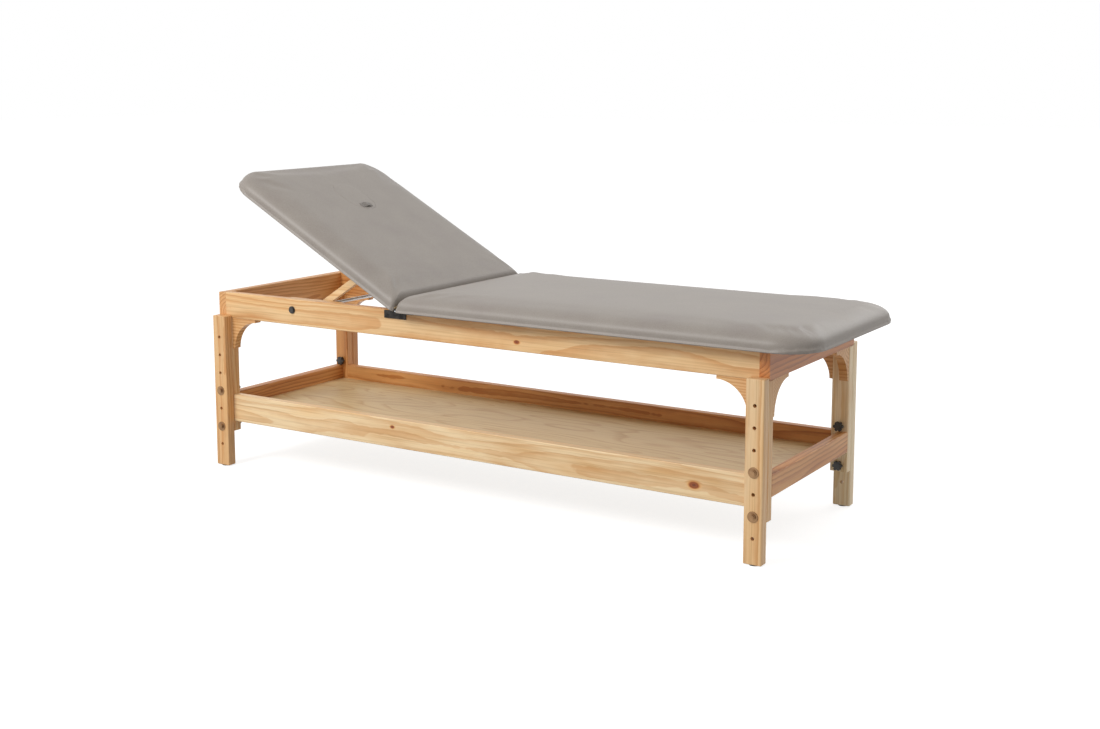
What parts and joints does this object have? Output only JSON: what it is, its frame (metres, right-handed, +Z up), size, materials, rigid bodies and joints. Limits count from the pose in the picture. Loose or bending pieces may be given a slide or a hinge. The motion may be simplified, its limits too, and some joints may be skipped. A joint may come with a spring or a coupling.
{
  "type": "medical exam table",
  "caption": "Wooden examination table with a tilting backrest on a prop frame, height-adjustable legs, a padded bed and a storage shelf.",
  "frame": {"origin": "on the floor below the middle of the whole length", "axes": "+X to the foot end, +Y to the rear side, +Z up"},
  "size_m": [1.96, 0.66, 0.9356],
  "materials": {
    "pine": "satin",
    "plywood": "satin",
    "grey_vinyl": "satin",
    "black_plastic": "satin",
    "black_steel": "satin",
    "zinc_steel": "satin",
    "dark_bolt": "satin"
  },
  "bodies": {
    "legs": {"leg_head_front": "pine", "leg_head_rear": "pine", "leg_foot_front": "pine", "leg_foot_rear": "pine", "glide_head_front": "black_plastic", "glide_head_rear": "black_plastic", "glide_foot_front": "black_plastic", "glide_foot_rear": "black_plastic"},
    "frame": {"long_rail_front": "pine", "long_rail_rear": "pine", "end_rail_head": "pine", "end_rail_foot": "pine", "post_head_front": "pine", "post_head_rear": "pine", "post_foot_front": "pine", "post_foot_rear": "pine", "bracket_head_front": "pine", "bracket_head_rear": "pine", "bracket_foot_front": "pine", "bracket_foot_rear": "pine", "cross_rail_hinge": "pine", "cross_rail_middle": "pine", "cross_rail_foot": "pine", "shelf_rail_front": "pine", "shelf_rail_rear": "pine", "shelf_rail_head": "pine", "shelf_rail_foot": "pine", "shelf_board": "plywood", "bed_board": "plywood", "bed_cushion": "grey_vinyl", "runner_front": "pine", "runner_rear": "pine", "runner_bolts": "black_plastic", "clamp_bolts": "dark_bolt", "hinge_bracket_front": "black_steel", "hinge_bracket_rear": "black_steel", "hinge_pins": "zinc_steel"},
    "backrest": {"back_board": "plywood", "back_cushion": "grey_vinyl", "back_batten_front": "pine", "back_batten_rear": "pine", "back_batten_head": "pine", "hinge_leaf_front": "black_steel", "hinge_leaf_rear": "black_steel"},
    "prop": {"prop_arm_front": "pine", "prop_arm_rear": "pine", "prop_rod_upper": "zinc_steel", "prop_rod_foot": "zinc_steel"},
    "face_plug": {"face_plug_board": "plywood", "face_plug_cushion": "grey_vinyl", "face_plug_tab": "grey_vinyl"},
    "knob_upper_head_front": {"knob_upper_head_front": "black_plastic"},
    "knob_upper_head_rear": {"knob_upper_head_rear": "black_plastic"},
    "knob_upper_foot_front": {"knob_upper_foot_front": "black_plastic"},
    "knob_upper_foot_rear": {"knob_upper_foot_rear": "black_plastic"},
    "knob_lower_head_front": {"knob_lower_head_front": "black_plastic"},
    "knob_lower_head_rear": {"knob_lower_head_rear": "black_plastic"},
    "knob_lower_foot_front": {"knob_lower_foot_front": "black_plastic"},
    "knob_lower_foot_rear": {"knob_lower_foot_rear": "black_plastic"}
  },
  "joints": [
    {"name": "height_adjust", "type": "slide", "parent": "legs", "child": "frame", "axis": [0, 0, 1], "range_m": [0, 0.168]},
    {"name": "backrest_tilt", "type": "hinge", "parent": "frame", "child": "backrest", "pos_m": [-0.27, 0, 0.545], "axis": [0, 1, 0], "range_deg": [-29, 16]},
    {"name": "prop_fold", "type": "hinge", "parent": "backrest", "child": "prop", "pos_m": [-0.45126, 0, 0.62952], "axis": [0, 1, 0], "range_deg": [-32, 58]},
    {"name": "face_plug_lift", "type": "slide", "parent": "backrest", "child": "face_plug", "axis": [0.4848, 0, 0.8746], "range_m": [0, 0.12]},
    {"name": "knob_upper_head_front_turn", "type": "hinge", "parent": "frame", "child": "knob_upper_head_front", "pos_m": [-0.955, -0.252, 0.238], "axis": [0, 1, 0], "continuous": true},
    {"name": "knob_upper_head_rear_turn", "type": "hinge", "parent": "frame", "child": "knob_upper_head_rear", "pos_m": [-0.955, 0.252, 0.238], "axis": [0, 1, 0], "continuous": true},
    {"name": "knob_upper_foot_front_turn", "type": "hinge", "parent": "frame", "child": "knob_upper_foot_front", "pos_m": [0.835, -0.252, 0.238], "axis": [0, 1, 0], "continuous": true},
    {"name": "knob_upper_foot_rear_turn", "type": "hinge", "parent": "frame", "child": "knob_upper_foot_rear", "pos_m": [0.835, 0.252, 0.238], "axis": [0, 1, 0], "continuous": true},
    {"name": "knob_lower_head_front_turn", "type": "hinge", "parent": "frame", "child": "knob_lower_head_front", "pos_m": [-0.955, -0.252, 0.126], "axis": [0, 1, 0], "continuous": true},
    {"name": "knob_lower_head_rear_turn", "type": "hinge", "parent": "frame", "child": "knob_lower_head_rear", "pos_m": [-0.955, 0.252, 0.126], "axis": [0, 1, 0], "continuous": true},
    {"name": "knob_lower_foot_front_turn", "type": "hinge", "parent": "frame", "child": "knob_lower_foot_front", "pos_m": [0.835, -0.252, 0.126], "axis": [0, 1, 0], "continuous": true},
    {"name": "knob_lower_foot_rear_turn", "type": "hinge", "parent": "frame", "child": "knob_lower_foot_rear", "pos_m": [0.835, 0.252, 0.126], "axis": [0, 1, 0], "continuous": true}
  ],
  "couplings": [
    {"joint": "prop_fold", "follows": "backrest_tilt", "ratio": -2}
  ]
}
